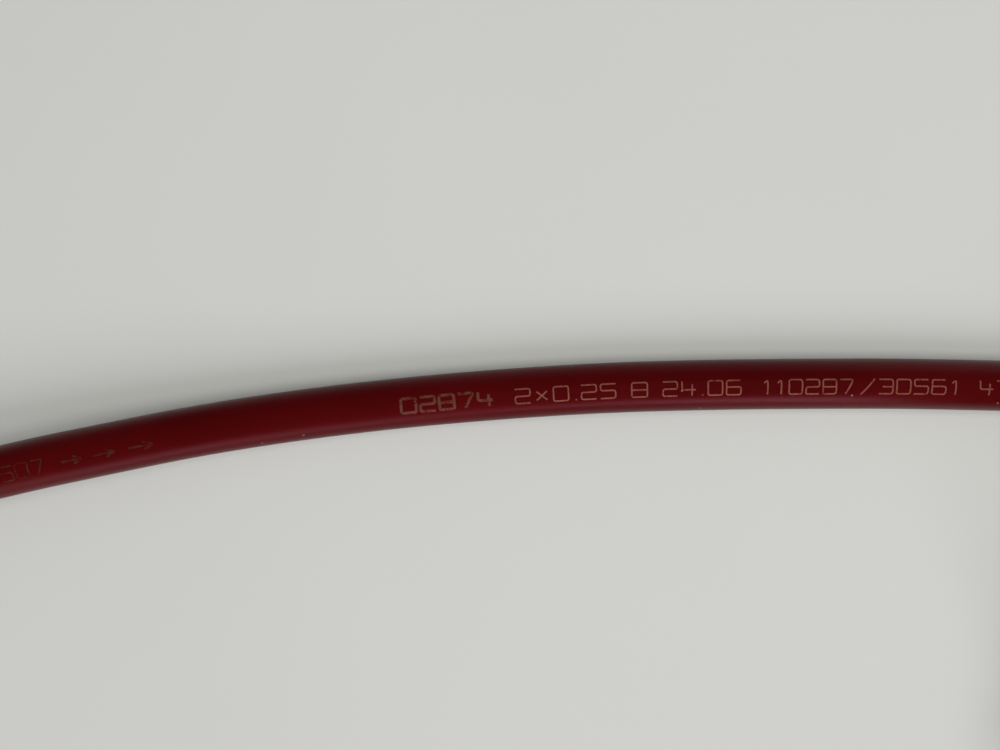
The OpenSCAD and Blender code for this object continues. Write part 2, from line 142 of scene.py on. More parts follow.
class CableFinishes(bpy.types.PropertyGroup):
    """Colours and gloss of the finishes"""

    jacket: FloatVectorProperty(
        name="Jacket", description="Colour of the cable's jacket", subtype="COLOR", size=3,
        default=(0.063, 0.0017, 0.002), min=0, max=1)
    jacket_roughness: FloatProperty(
        name="Jacket roughness", description="Roughness of the jacket's surface",
        default=0.32, min=0, max=1, subtype="FACTOR")
    ink: FloatVectorProperty(
        name="Ink", description="Colour of the printed marks", subtype="COLOR", size=3,
        default=(0.24, 0.082, 0.055), min=0, max=1)
    shell: FloatVectorProperty(
        name="Shell", description="Colour of the connectors' plated shells", subtype="COLOR", size=3,
        default=(0.62, 0.61, 0.6), min=0, max=1)
    contact: FloatVectorProperty(
        name="Contact", description="Colour of the plated contacts", subtype="COLOR", size=3,
        default=(0.83, 0.57, 0.22), min=0, max=1)
    moulding: FloatVectorProperty(
        name="Moulding", description="Colour of the black mouldings", subtype="COLOR", size=3,
        default=(0.022, 0.023, 0.026), min=0, max=1)
    tie: FloatVectorProperty(
        name="Tie", description="Colour of the ties' tape", subtype="COLOR", size=3,
        default=(0.02, 0.021, 0.025), min=0, max=1)


class StageLooks(bpy.types.PropertyGroup):
    """Floor and lights"""

    floor: FloatVectorProperty(
        name="Floor", description="Colour of the floor", subtype="COLOR", size=3,
        default=(0.61, 0.615, 0.6), min=0, max=1)
    front_power: FloatProperty(
        name="Front light", description="Power of the soft light in front",
        default=9.4, min=0, unit="POWER")
    overhead_power: FloatProperty(
        name="Overhead light", description="Power of the soft light above",
        default=3.5, min=0, unit="POWER")
    fill: FloatProperty(
        name="Fill", description="Strength of the even light from all round", default=0.24, min=0)
    ceiling: FloatProperty(
        name="Ceiling", description="Brightness overhead that the gloss mirrors", default=0.03, min=0)
    walls: FloatProperty(
        name="Walls", description="Brightness of the walls that the gloss mirrors", default=0.35, min=0)
    window: FloatProperty(
        name="Window", description="Brightness of the wide window in front that the gloss mirrors",
        default=3.4, min=0)
    backdrop: FloatVectorProperty(
        name="Backdrop", description="Colour beyond the floor", subtype="COLOR", size=3,
        default=(0.16, 0.163, 0.16), min=0, max=1)


# ---- paths ----


def curve_point(a, b, c, d, t):
    """Point of a Catmull-Rom curve between b and c."""
    return (2 * b + (c - a) * t + (2 * a - 5 * b + 4 * c - d) * t * t + (3 * b - a - 3 * c + d) * t * t * t) / 2


def smooth_route(route, steps):
    """A dense smooth curve through the route's points."""
    p = [Vector(point) for point in route]
    p = [2 * p[0] - p[1]] + p + [2 * p[-1] - p[-2]]
    line = [curve_point(*p[i:i + 4], k / steps) for i in range(len(p) - 3) for k in range(steps)]
    return line + [p[-2]]


def straight(start, end, steps):
    """Points from start up to, but without, end."""
    return [start.lerp(end, i / steps) for i in range(steps)]


def ease(t):
    """A soft step from 0 to 1."""
    t = min(max(t, 0), 1)
    return t * t * (3 - 2 * t)


def coil_line(steps_a_turn=120):
    """The coil's middle line: it spirals in and out again, a layer at a time, and turns back gently."""
    corner = math.acos(1 - TURN_BACK) / math.pi
    line = []
    count = round(COIL_TURNS * steps_a_turn)
    for i in range(count + 1):
        turn = i / steps_a_turn
        layers_done = turn / LAYER_TURNS
        wave = math.acos(math.cos(math.pi * layers_done) * (1 - TURN_BACK)) / math.pi
        inward = (wave - corner) / (1 - 2 * corner)
        slack = COIL_SLACK * ease(turn) * ease(COIL_TURNS - turn)
        radius = COIL_R - (COIL_R - COIL_INNER_R) * inward + slack * math.sin(turn * 9.1 + 0.6)
        climbed = sum(ease((turn - k * LAYER_TURNS) * 2 + 0.5) for k in range(1, COIL_LAYERS))
        angle = math.radians(90 - 360 * turn)
        z = COIL_START.z + TURN_PITCH * climbed + slack * 0.5 * math.sin(turn * 7.3)
        line.append(Vector((COIL_X + radius * math.cos(angle), COIL_Y + radius * math.sin(angle), z)))
    return line


def evenly(line, step):
    """The same line with points an even step apart."""
    p = np.array([tuple(v) for v in line])
    along = np.concatenate([[0], np.cumsum(np.linalg.norm(np.diff(p, axis=0), axis=1))])
    wanted = np.linspace(0, along[-1], round(along[-1] / step) + 1)
    return np.stack([np.interp(wanted, along, p[:, k]) for k in range(3)], axis=1)


def cable_line(step):
    """Middle line of the whole cable, from inside the plug to inside the socket."""
    run = smooth_route(RUN_ROUTE, 16)
    tail = smooth_route(TAIL_ROUTE, 16)
    coil = coil_line()
    inside_plug = PLUG_EXIT - Vector((0, INSIDE, 0))
    inside_socket = SOCKET_EXIT - Vector((INSIDE, 0, 0))
    line = straight(inside_plug, run[0], 20)
    line += run[:-1]
    line += straight(run[-1], coil[0], 6)
    line += coil
    line += straight(coil[-1], tail[0], 6)[1:]
    line += tail[:-1]
    line += straight(tail[-1], inside_socket, 20) + [inside_socket]
    return evenly(line, step)


class Rail:
    """A line with its length, and at each place its heading, its side and its top."""

    def __init__(self, line):
        self.points = np.asarray(line, float)
        steps = np.linalg.norm(np.diff(self.points, axis=0), axis=1)
        self.along = np.concatenate([[0], np.cumsum(steps)])
        heading = np.gradient(self.points, axis=0)
        self.heading = heading / np.linalg.norm(heading, axis=1, keepdims=True)
        side = np.cross([0, 0, 1], self.heading)
        self.side = side / np.linalg.norm(side, axis=1, keepdims=True)
        self.top = np.cross(self.heading, self.side)

    def at(self, values, s):
        """One of the rail's rows of vectors, read at a length s."""
        return np.array([np.interp(s, self.along, values[:, k]) for k in range(3)])

    def on_surface(self, s, angle, radius):
        """Point of the surface at a length s, at an angle from the top towards the right-hand side."""
        return (self.at(self.points, s)
                + radius * (math.cos(angle) * self.at(self.top, s) - math.sin(angle) * self.at(self.side, s)))

    def length_at_x(self, x):
        """Length at which the laid-out stretch reaches x."""
        laid_out = (self.along > LAID_OUT[0]) & (self.along < LAID_OUT[1])
        return float(np.interp(x, self.points[laid_out, 0], self.along[laid_out]))


# ---- meshes ----


def add_object(name, vertices, faces, uvs=None, smooth=True):
    """A mesh object in the scene. uvs holds one pair for each corner of each face."""
    mesh = bpy.data.meshes.new(name)
    mesh.from_pydata([tuple(v) for v in vertices], [], faces)
    if uvs is not None:
        layer = mesh.uv_layers.new(name="surface")
        layer.data.foreach_set("uv", np.asarray(uvs, np.float32).ravel())
    mesh.polygons.foreach_set("use_smooth", [smooth] * len(mesh.polygons))
    mesh.validate()
    mesh.update()
    made = bpy.data.objects.new(name, mesh)
    bpy.context.scene.collection.objects.link(made)
    return made


def tube(name, rail, radius, sides):
    """A closed tube along a rail. Its UV map is in metres, along and around."""
    turn = np.arange(sides) * 2 * math.pi / sides
    rings = (rail.points[:, None]
             + radius * (np.cos(turn)[None, :, None] * rail.side[:, None]
                         + np.sin(turn)[None, :, None] * rail.top[:, None]))
    count = len(rings)
    vertices = rings.reshape(-1, 3)
    around = 2 * math.pi * radius / sides
    faces = []
    uvs = []
    for i in range(count - 1):
        for k in range(sides):
            a = i * sides + k
            b = i * sides + (k + 1) % sides
            faces.append((a, b, b + sides, a + sides))
            low, high = rail.along[i], rail.along[i + 1]
            uvs += [(low, k * around), (low, (k + 1) * around), (high, (k + 1) * around), (high, k * around)]
    for start in (0, (count - 1) * sides):
        ring = list(range(start, start + sides))
        faces.append(tuple(reversed(ring)) if start == 0 else tuple(ring))
        uvs += [(0, 0)] * sides
    return add_object(name, vertices, faces, uvs)


class Ribbons:
    """Collects thin closed ribbons, such as pen strokes, into one mesh."""

    def __init__(self):
        self.vertices = []
        self.faces = []

    def stroke(self, line, width, place, low, high, step):
        """A ribbon along a flat line. place(u, v, height) puts a flat point on the surface."""
        flat = resampled(line, step)
        heading = np.gradient(flat, axis=0)
        heading /= np.linalg.norm(heading, axis=1, keepdims=True)
        across = np.stack([-heading[:, 1], heading[:, 0]], axis=1) * width / 2
        base = len(self.vertices)
        for p, w in zip(flat, across):
            for u, v, height in ((*(p + w), high), (*(p - w), high), (*(p - w), low), (*(p + w), low)):
                self.vertices.append(place(u, v, height))
        for i in range(len(flat) - 1):
            for k in range(4):
                a, b = base + 4 * i + k, base + 4 * i + (k + 1) % 4
                self.faces.append((a, a + 4, b + 4, b))
        end = base + 4 * (len(flat) - 1)
        self.faces.append((base, base + 1, base + 2, base + 3))
        self.faces.append((end + 3, end + 2, end + 1, end))

    def finish(self, name):
        """The ribbons as one flat-shaded object."""
        return add_object(name, self.vertices, self.faces, smooth=False)


def resampled(line, step):
    """A flat polyline with points no more than a step apart, its corners kept."""
    p = [np.array(v, float) for v in line]
    out = []
    for a, b in zip(p[:-1], p[1:]):
        n = max(1, math.ceil(np.linalg.norm(b - a) / step))
        out += [a + (b - a) * i / n for i in range(n)]
    return np.array(out + [p[-1]])


# ---- plain marks ----

CORNER = 0.16  # how much of a glyph's box a rounded corner takes

# Strokes of each mark in a box of one by one
GLYPHS = {
    "0": [[(0.5, 0), (0, 0), (0, 1), (1, 1), (1, 0), (0.5, 0)]],
    "1": [[(0.2, 0.78), (0.55, 1), (0.55, 0)]],
    "2": [[(0, 1), (1, 1), (1, 0.5), (0, 0.5), (0, 0), (1, 0)]],
    "3": [[(0, 1), (1, 1), (1, 0), (0, 0)], [(0.25, 0.5), (1, 0.5)]],
    "4": [[(0.05, 1), (0.05, 0.42), (1, 0.42)], [(0.75, 0.8), (0.75, 0)]],
    "5": [[(1, 1), (0, 1), (0, 0.55), (1, 0.55), (1, 0), (0, 0)]],
    "6": [[(0.95, 1), (0, 1), (0, 0), (1, 0), (1, 0.55), (0, 0.55)]],
    "7": [[(0, 1), (1, 1), (0.45, 0)]],
    "8": [[(0.5, 0), (0, 0), (0, 1), (1, 1), (1, 0), (0.5, 0)], [(0, 0.5), (1, 0.5)]],
    ".": [[(0.4, 0.02), (0.6, 0.02)]],
    "/": [[(0.1, -0.05), (0.9, 1.05)]],
    "x": [[(0.15, 0.15), (0.85, 0.75)], [(0.15, 0.75), (0.85, 0.15)]],
    ">": [[(0, 0.5), (1, 0.5)], [(0.6, 0.86), (1, 0.5), (0.6, 0.14)]],
}
NARROW = {".": 0.45, "/": 0.8, "1": 0.8}  # marks that take less than a full place in a row


def rounded(line, width, height, corner):
    """A polyline in a glyph's box scaled to size, its corners turned into short arcs."""
    p = [np.array((x * width, y * height)) for x, y in line]
    out = [p[0]]
    for a, b, c in zip(p[:-2], p[1:-1], p[2:]):
        reach = min(corner, np.linalg.norm(b - a) / 2, np.linalg.norm(c - b) / 2)
        start = b + (a - b) / np.linalg.norm(a - b) * reach
        end = b + (c - b) / np.linalg.norm(c - b) * reach
        for t in (0, 0.25, 0.5, 0.75, 1):
            out.append((1 - t) ** 2 * start + 2 * t * (1 - t) * b + t * t * end)
    return out + [p[-1]]


def write_marks(ribbons, text, u, width, height, stroke, place, low, high, step):
    """Writes plain marks from u on, so that they fill the width."""
    unit = width / sum(NARROW.get(mark, 1) for mark in text)
    for mark in text:
        room = unit * NARROW.get(mark, 1)
        glyph_w = room if len(text) == 1 else min(room * 0.78, height * 1.05)
        for line in GLYPHS[mark]:
            flat = [(u + x, y) for x, y in rounded(line, glyph_w, height, CORNER * height)]
            ribbons.stroke(flat, stroke, place, low, high, step)
        u += room


# ---- materials ----


def add_node(tree, kind, inputs=None, **settings):
    """A shader node. An input is a value, or another node's socket to link to."""
    made = tree.nodes.new("ShaderNode" + kind)
    for key, value in settings.items():
        setattr(made, key, value)
    for key, value in (inputs or {}).items():
        if isinstance(value, bpy.types.NodeSocket):
            tree.links.new(value, made.inputs[key])
        else:
            made.inputs[key].default_value = value
    return made


def new_material(name):
    """A material with one plain shader. Returns the material, its tree and the shader."""
    made = bpy.data.materials.new(name)
    made.use_nodes = True
    tree = made.node_tree
    tree.nodes.clear()
    shader = add_node(tree, "BsdfPrincipled")
    output = add_node(tree, "OutputMaterial")
    tree.links.new(shader.outputs["BSDF"], output.inputs["Surface"])
    return made, tree, shader


def place_on(tree, source="Object", stretch=(1, 1, 1)):
    """Texture coordinates in metres, stretched along the axes."""
    where = add_node(tree, "TexCoord")
    return add_node(tree, "Mapping", {"Vector": where.outputs[source], "Scale": stretch}).outputs["Vector"]


def noise(tree, where, scale, detail=3.0, roughness=0.5):
    """A noise texture's value."""
    made = add_node(tree, "TexNoise", {"Vector": where, "Scale": scale, "Detail": detail, "Roughness": roughness})
    return made.outputs["Fac"]


def ranged(tree, value, low, high, from_low=0.3, from_high=0.7):
    """Maps a texture's middle range to low and high."""
    return add_node(tree, "MapRange", {
        "Value": value, "From Min": from_low, "From Max": from_high, "To Min": low, "To Max": high,
    }).outputs["Result"]


def mixed(tree, amount, first, second):
    """A colour between two, each a colour or a socket. amount is a socket."""
    made = tree.nodes.new("ShaderNodeMix")
    made.data_type = "RGBA"
    for socket, value in ((made.inputs[0], amount), (made.inputs[6], first), (made.inputs[7], second)):
        if isinstance(value, bpy.types.NodeSocket):
            tree.links.new(value, socket)
        else:
            socket.default_value = (*value, 1)
    return made.outputs[2]


def bumped(tree, height, depth, strength, normal=None):
    """The normal of a surface with a texture's relief, on top of another normal if one is given."""
    inputs = {"Height": height, "Distance": depth, "Strength": strength}
    if normal is not None:
        inputs["Normal"] = normal
    return add_node(tree, "Bump", inputs).outputs["Normal"]


def shade(color, factor):
    """A darker or lighter version of a colour."""
    return tuple(min(1, c * factor) for c in color)


# Dust on the jacket
DUST_CELLS = 305.0    # cells in a metre
DUST_BARE = 0.96      # share of the cells without a speck
DUST_SIZE = 0.05      # radius of a speck, as a part of its cell
DUST_AMOUNT = 0.45
DUST_COLOR = (0.34, 0.25, 0.22)


def jacket_finish(color, roughness):
    """Satin flexible jacket: faint lines from the extruder, a hazy gloss that varies, and a few specks of dust."""
    made, tree, shader = new_material("jacket_satin_dark_red")
    along = place_on(tree, "UV")
    stretched = place_on(tree, "UV", (1, 14, 1))
    handled = noise(tree, along, 45, 4)
    lines = noise(tree, stretched, 160, 3)
    grain = noise(tree, along, 5200, 2)
    body = mixed(tree, ranged(tree, handled, 0, 1), shade(color, 0.9), shade(color, 1.12))
    specks = add_node(tree, "TexVoronoi", {"Vector": along, "Scale": DUST_CELLS, "Randomness": 1.0},
                      voronoi_dimensions="2D")
    chance = add_node(tree, "SeparateColor", {"Color": specks.outputs["Color"]}).outputs["Red"]
    few = add_node(tree, "Math", {0: chance, 1: DUST_BARE}, operation="GREATER_THAN").outputs[0]
    near = add_node(tree, "Math", {0: specks.outputs["Distance"], 1: DUST_SIZE}, operation="LESS_THAN").outputs[0]
    dust = add_node(tree, "Math", {0: few, 1: near}, operation="MULTIPLY").outputs[0]
    dusted = add_node(tree, "Math", {0: dust, 1: DUST_AMOUNT}, operation="MULTIPLY").outputs[0]
    body = mixed(tree, dusted, body, DUST_COLOR)
    tree.links.new(body, shader.inputs["Base Color"])
    wear = ranged(tree, handled, roughness - 0.04, roughness + 0.06)
    tree.links.new(wear, shader.inputs["Roughness"])
    normal = bumped(tree, lines, 0.012 * MM, 0.5)
    normal = bumped(tree, grain, 0.006 * MM, 0.35, normal)
    tree.links.new(normal, shader.inputs["Normal"])
    shader.inputs["IOR"].default_value = 1.5
    shader.inputs["Specular IOR Level"].default_value = 0.13
    shader.inputs["Specular Tint"].default_value = (1.0, 0.3, 0.45, 1)
    return made


def ink_finish(name, color, jacket, worn):
    """Foil-like ink that has worn through in places."""
    made, tree, shader = new_material(name)
    where = place_on(tree)
    patches = noise(tree, where, 900, 5, 0.65)
    fine = noise(tree, where, 4200, 3)
    both = add_node(tree, "Math", {0: patches, 1: fine}, operation="MULTIPLY").outputs[0]
    wear = ranged(tree, both, 1, 0, worn - 0.06, worn + 0.06)
    tree.links.new(mixed(tree, wear, color, shade(jacket, 1.4)), shader.inputs["Base Color"])
    tree.links.new(ranged(tree, fine, 0.34, 0.5), shader.inputs["Roughness"])
    shader.inputs["Metallic"].default_value = 0.25
    shader.inputs["Specular IOR Level"].default_value = 0.12
    return made


def moulded_finish(name, color, roughness, grain=1800, depth=0.02, sheen=0.0):
    """Moulded plastic or rubber with a fine grain and slightly uneven gloss."""
    made, tree, shader = new_material(name)
    where = place_on(tree)
    broad = noise(tree, where, 120, 4)
    fine = noise(tree, where, grain, 3)
    tree.links.new(mixed(tree, ranged(tree, broad, 0, 1), shade(color, 0.85), shade(color, 1.25)),
                   shader.inputs["Base Color"])
    tree.links.new(ranged(tree, broad, roughness - 0.05, roughness + 0.07), shader.inputs["Roughness"])
    tree.links.new(bumped(tree, fine, depth * MM, 0.6), shader.inputs["Normal"])
    shader.inputs["Sheen Weight"].default_value = sheen
    return made


def plated_finish(name, color, roughness, stretch=(1, 1, 1)):
    """Plated metal with a satin cast surface, fine marks of handling and softened edges."""
    made, tree, shader = new_material(name)
    where = place_on(tree, "Object", stretch)
    broad = noise(tree, place_on(tree), 90, 4)
    marks = noise(tree, where, 900, 4, 0.6)
    tree.links.new(mixed(tree, ranged(tree, broad, 0, 1), shade(color, 0.92), shade(color, 1.05)),
                   shader.inputs["Base Color"])
    tree.links.new(ranged(tree, marks, roughness - 0.03, roughness + 0.05), shader.inputs["Roughness"])
    soft = add_node(tree, "Bevel", {"Radius": 0.12 * MM}, samples=4).outputs["Normal"]
    tree.links.new(bumped(tree, marks, 0.0015 * MM, 0.5, soft), shader.inputs["Normal"])
    shader.inputs["Metallic"].default_value = 1.0
    return made


def tape_finish(color):
    """Woven hook-and-loop tape: crossing yarns, a soft pile and firm edges."""
    made, tree, shader = new_material("tie_woven_tape")
    along = place_on(tree, "UV")

    def yarns(scale, distortion, direction):
        inputs = {"Vector": along, "Scale": scale, "Distortion": distortion, "Detail": 2.0, "Detail Scale": 3.0}
        return add_node(tree, "TexWave", inputs, wave_type="BANDS", bands_direction=direction).outputs["Fac"]

    warp = yarns(330.0, 1.2, "Y")
    weft = yarns(420.0, 1.4, "X")
    crossing = add_node(tree, "Math", {0: warp, 1: weft}, operation="MULTIPLY").outputs[0]
    pile = noise(tree, along, 2600, 4, 0.7)
    cloth = add_node(tree, "Math", {0: crossing, 1: pile}, operation="ADD").outputs[0]
    tree.links.new(mixed(tree, ranged(tree, cloth, 0, 1, 0.4, 1.3), shade(color, 0.5), shade(color, 2.2)),
                   shader.inputs["Base Color"])
    tree.links.new(bumped(tree, cloth, 0.18 * MM, 0.8), shader.inputs["Normal"])
    shader.inputs["Roughness"].default_value = 0.85
    shader.inputs["Sheen Weight"].default_value = 0.35
    shader.inputs["Sheen Roughness"].default_value = 0.5
    return made


def floor_finish(color):
    """Pale smooth worktop with a faint cloudiness."""
    made, tree, shader = new_material("floor_pale")
    clouds = noise(tree, place_on(tree), 9, 3)
    tint = mixed(tree, ranged(tree, clouds, 0, 1), shade(color, 0.985), shade(color, 1.015))
    tree.links.new(tint, shader.inputs["Base Color"])
    shader.inputs["Roughness"].default_value = 0.6
    shader.inputs["Specular IOR Level"].default_value = 0
    return made


def dress(node_name, material):
    """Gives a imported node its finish."""
    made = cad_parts[node_name]
    if not made.material_slots:
        made.data.materials.append(material)
    for slot in made.material_slots:
        slot.material = material


def finish_named(name, build, *values):
    """The material of that name, made the first time it is asked for."""
    return bpy.data.materials.get(name) or build(*values)


# ---- camera ----

VIEW_CENTRE = Vector((0.032, 0.118, 0))
VIEW_HEIGHT = 0.1232
LENS = 27.04
SENSOR = 36.0
CLIP = (0.005, 20)


class AUDIOCABLE_OT_camera(bpy.types.Operator):
    """Add the camera, which looks straight down on the laid-out stretch of cable"""

    bl_idname = "audiocable.camera"
    bl_label = "Add Camera"

    def execute(self, context):
        data = bpy.data.cameras.new("camera")
        data.sensor_width = SENSOR
        data.lens = LENS
        data.clip_start, data.clip_end = CLIP
        made = bpy.data.objects.new("camera", data)
        made.location = VIEW_CENTRE + Vector((0, 0, VIEW_HEIGHT))
        context.scene.collection.objects.link(made)
        context.scene.camera = made
        return {"FINISHED"}


# ---- cable, print and ties ----

# Groups of plain marks in the laid-out stretch: text, start and end along X in millimetres, and how much bolder
# than the plain stroke they are
BOLD_GROUPS = [
    ("02874", 16.7, 31.5, 1.9),
]
MARK_GROUPS = [
    ("2x0.25", 34.3, 50.4, 1),
    ("8", 52.2, 54.6, 1),
    ("24.06", 57.0, 69.6, 1),
    ("110287", 72.2, 86.8, 1),
    ("/", 87.2, 89.8, 1),
    ("30561", 90.2, 103.2, 1),
    ("472", 105.6, 113.6, 1),
]
FAINT_GROUPS = [
    ("507", -42.3, -35.6, 1),
    (">", -33.7, -30.8, 1.4),
    (">", -29.3, -26.1, 1.4),
    (">", -24.2, -20.6, 1.4),
]
MARK_ANGLE = math.radians(6)   # from the cable's top down its near side
FAINT_ANGLE = math.radians(9)
TWIST = math.radians(420)      # how far the print turns round the cable in each metre of the coil
PRINT_REPEATS = 9
ARROW_HEIGHT = 0.72            # of the plain marks' height


def build_print(name, rail, sizes, groups, angle, repeats, step):
    """Plain marks on the cable's surface, each repeat one period further on."""
    ribbons = Ribbons()
    radius = CABLE_D / 2
    height = sizes.print_height
    for k in repeats:
        shift = k * sizes.print_period
        turned = angle + k * TWIST * sizes.print_period

        def place(u, v, lift):
            return rail.on_surface(u + shift, turned - (v - height / 2) / radius, radius + lift)

        for text, start, end, weight in groups:
            tall = height * (ARROW_HEIGHT if text == ">" else 1)
            low_edge = (height - tall) / 2
            write_marks(ribbons, text, rail.length_at_x(start * MM), (end - start) * MM, tall,
                        sizes.print_stroke * weight,
                        lambda u, v, lift, low_edge=low_edge: place(u, v + low_edge, lift),
                        -sizes.print_thickness, sizes.print_thickness, step)
    return ribbons.finish(name)


class AUDIOCABLE_OT_cable(bpy.types.Operator):
    """Build the cable from plug to socket, with its printed marks, and the two ties round its coil"""

    bl_idname = "audiocable.cable"
    bl_label = "Build Cable"

    def execute(self, context):
        sizes = context.scene.cable_sizes
        finishes = context.scene.cable_finishes
        rail = Rail(cable_line(sizes.ring_step))
        jacket = jacket_finish(finishes.jacket, finishes.jacket_roughness)
        cable = tube("cable", rail, CABLE_D / 2, sizes.sides)
        cable.data.materials.append(jacket)
        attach(cable, CABLE_BODY)
        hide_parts("cable_run", "cable_coil", "cable_tail", "plug_jacket_end", "socket_jacket_end")

        fine = 0.3 * MM
        coarse = 0.7 * MM
        ink = ink_finish("ink_gold", finishes.ink, finishes.jacket, 0.17)
        bold = ink_finish("ink_bold", shade(finishes.ink, 0.6), finishes.jacket, 0.22)
        faint = ink_finish("ink_worn", shade(finishes.ink, 0.3), finishes.jacket, 0.26)
        pieces = [
            build_print("printed_marks", rail, sizes, MARK_GROUPS, MARK_ANGLE, [0], fine),
            build_print("printed_marks_coil", rail, sizes, MARK_GROUPS, MARK_ANGLE, range(1, PRINT_REPEATS), coarse),
            build_print("printed_bold", rail, sizes, BOLD_GROUPS, MARK_ANGLE, range(PRINT_REPEATS), fine),
            build_print("printed_arrows", rail, sizes, FAINT_GROUPS, FAINT_ANGLE, range(PRINT_REPEATS), fine),
        ]
        for piece, material in zip(pieces, (ink, ink, bold, faint)):
            piece.data.materials.append(material)
            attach(piece, CABLE_BODY)
        ties = [build_tie("tie_near", -1, sizes, finishes), build_tie("tie_far", 1, sizes, finishes)]
        for tie, node_name in zip(ties, ("tie_strap_near", "tie_strap_far")):
            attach(tie, CABLE_BODY)
            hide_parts(node_name)
        return {"FINISHED"}


def tie_profile(gap):
    """The tie's middle line round the bundle, as radius and height: up the outside, over, down the inside,
    back below, and up the outside again over its own end. Returns the points."""
    inner_r = COIL_INNER_R - CABLE_D / 2 - gap
    outer_r = COIL_R + CABLE_D / 2 + gap
    low = 0.62 * MM
    high = COIL_TOP + CABLE_D / 2 + gap
    corner = 4.0 * MM
    overlap_start, overlap_end = 10.5 * MM, 29 * MM
    drop, rise = 2.2 * MM, 2.6 * MM  # where the end starts to climb onto the tape, and over what height
    lift = 1.15 * MM

    def bend(cx, cz, start, stop):
        steps = 10
        return [(cx + corner * math.cos(math.radians(start + (stop - start) * i / steps)),
                 cz + corner * math.sin(math.radians(start + (stop - start) * i / steps)))
                for i in range(steps + 1)]

    line = [(outer_r, overlap_start)]
    line += bend(outer_r - corner, high - corner, 0, 90)
    line += bend(inner_r + corner, high - corner, 90, 180)
    line += bend(inner_r + corner, low + corner, 180, 270)
    line += bend(outer_r - corner, low + corner, 270, 360)
    line += [(outer_r, overlap_start - drop)]
    line += [(outer_r + lift * ease(i / 5), overlap_start - drop + rise * i / 5) for i in range(1, 6)]
    line += [(outer_r + lift, overlap_end - 2 * MM), (outer_r + lift + 0.15 * MM, overlap_end)]
    return line


def build_tie(name, side, sizes, finishes):
    """A hook-and-loop tie round the coil, its tongue pressed down over the outside. side is -1 or 1 along X."""
    gap = 0.3 * MM + sizes.tie_thickness / 2
    line = resampled(tie_profile(gap), 0.8 * MM)
    heading = np.gradient(line, axis=0)
    heading /= np.linalg.norm(heading, axis=1, keepdims=True)
    out = np.stack([heading[:, 1], -heading[:, 0]], axis=1)
    along = np.concatenate([[0], np.cumsum(np.linalg.norm(np.diff(line, axis=0), axis=1))])
    columns = 15
    half_w, half_t = sizes.tie_width / 2, sizes.tie_thickness / 2
    round_end = 4.5 * MM
    sway, sway_rate = 0.15 * MM, 55
    ripple, ripple_rate = 0.05 * MM, 700
    random.seed(7 + side)
    sway_start, ripple_start = random.uniform(-1, 1), random.uniform(-1, 1)
    grid = []
    uvs_at = []
    for i, (rho, z) in enumerate(line):
        left = along[-1] - along[i]
        rounding = min(left / round_end, 1)
        narrow = math.sqrt(max(0.0, 1 - (1 - rounding) ** 2)) * 0.35 + 0.65
        drift = sway * math.sin(along[i] * sway_rate + sway_start)
        for surface in (1, -1):
            for c in range(columns):
                w = -1 + 2 * c / (columns - 1)
                across = half_w * w * narrow + drift
                edge = half_t * (1 - 0.55 * abs(w) ** 10)
                wave = ripple * math.sin(along[i] * ripple_rate + ripple_start) * (1 - w * w)
                r = rho + out[i][0] * (surface * edge + wave)
                height = z + out[i][1] * (surface * edge + wave)
                x = side * math.sqrt(max(r * r - across * across, 0))
                grid.append((COIL_X + x, COIL_Y + across, max(height, 0.02 * MM)))
                uvs_at.append((along[i], half_w * w))
    per_row = 2 * columns
    ring = list(range(columns)) + list(range(2 * columns - 1, columns - 1, -1))
    faces = []
    for i in range(len(line) - 1):
        for k in range(per_row):
            a, b = ring[k], ring[(k + 1) % per_row]
            face = (i * per_row + a, i * per_row + b, (i + 1) * per_row + b, (i + 1) * per_row + a)
            faces.append(face if side > 0 else face[::-1])
    last = (len(line) - 1) * per_row
    first_cap = tuple(reversed(ring))
    last_cap = tuple(last + k for k in ring)
    faces += [first_cap, last_cap] if side > 0 else [first_cap[::-1], last_cap[::-1]]
    uvs = [uvs_at[v] for face in faces for v in face]
    made = add_object(name, grid, faces, uvs)
    made.data.materials.append(finish_named("tie_woven_tape", tape_finish, finishes.tie))
    return made


# ---- connectors ----


def contact_gold(finishes):
    """Plating of the pins and sockets."""
    return finish_named("contact_gold", plated_finish, "contact_gold", finishes.contact, 0.2)


def insert_black(finishes):
    """Moulding of the inserts and of the numbers on them."""
    return finish_named("insert_black", moulded_finish, "insert_black", finishes.moulding, 0.42, 2600, 0.01)


def connector_finishes(kind, finishes):
    """Finishes of the pieces that both connectors have. kind is plug or socket."""
    lengthways = (1, 0.08, 1) if kind == "plug" else (0.08, 1, 1)
    dark = finishes.moulding
    dress(kind + "_shell", plated_finish(kind + "_shell_satin_nickel", finishes.shell, 0.3, lengthways))
    dress(kind + "_insert", insert_black(finishes))
    dress(kind + "_chuck", finish_named("chuck_natural", moulded_finish, "chuck_natural", (0.6, 0.57, 0.5), 0.45))
    dress(kind + "_nut", finish_named("nut_black", moulded_finish, "nut_black", dark, 0.46, 2200, 0.03))
    dress(kind + "_boot", finish_named("boot_rubber", moulded_finish, "boot_rubber", shade(dark, 0.9), 0.62, 1500,
                                       0.03, 0.1))
    dress(kind + "_cores", finish_named("core_white", moulded_finish, "core_white", (0.72, 0.7, 0.62), 0.3, 2600,
                                        0.004))
    dress(kind + "_screen_lead", finish_named("screen_copper", plated_finish, "screen_copper", (0.75, 0.36, 0.2),
                                              0.35))


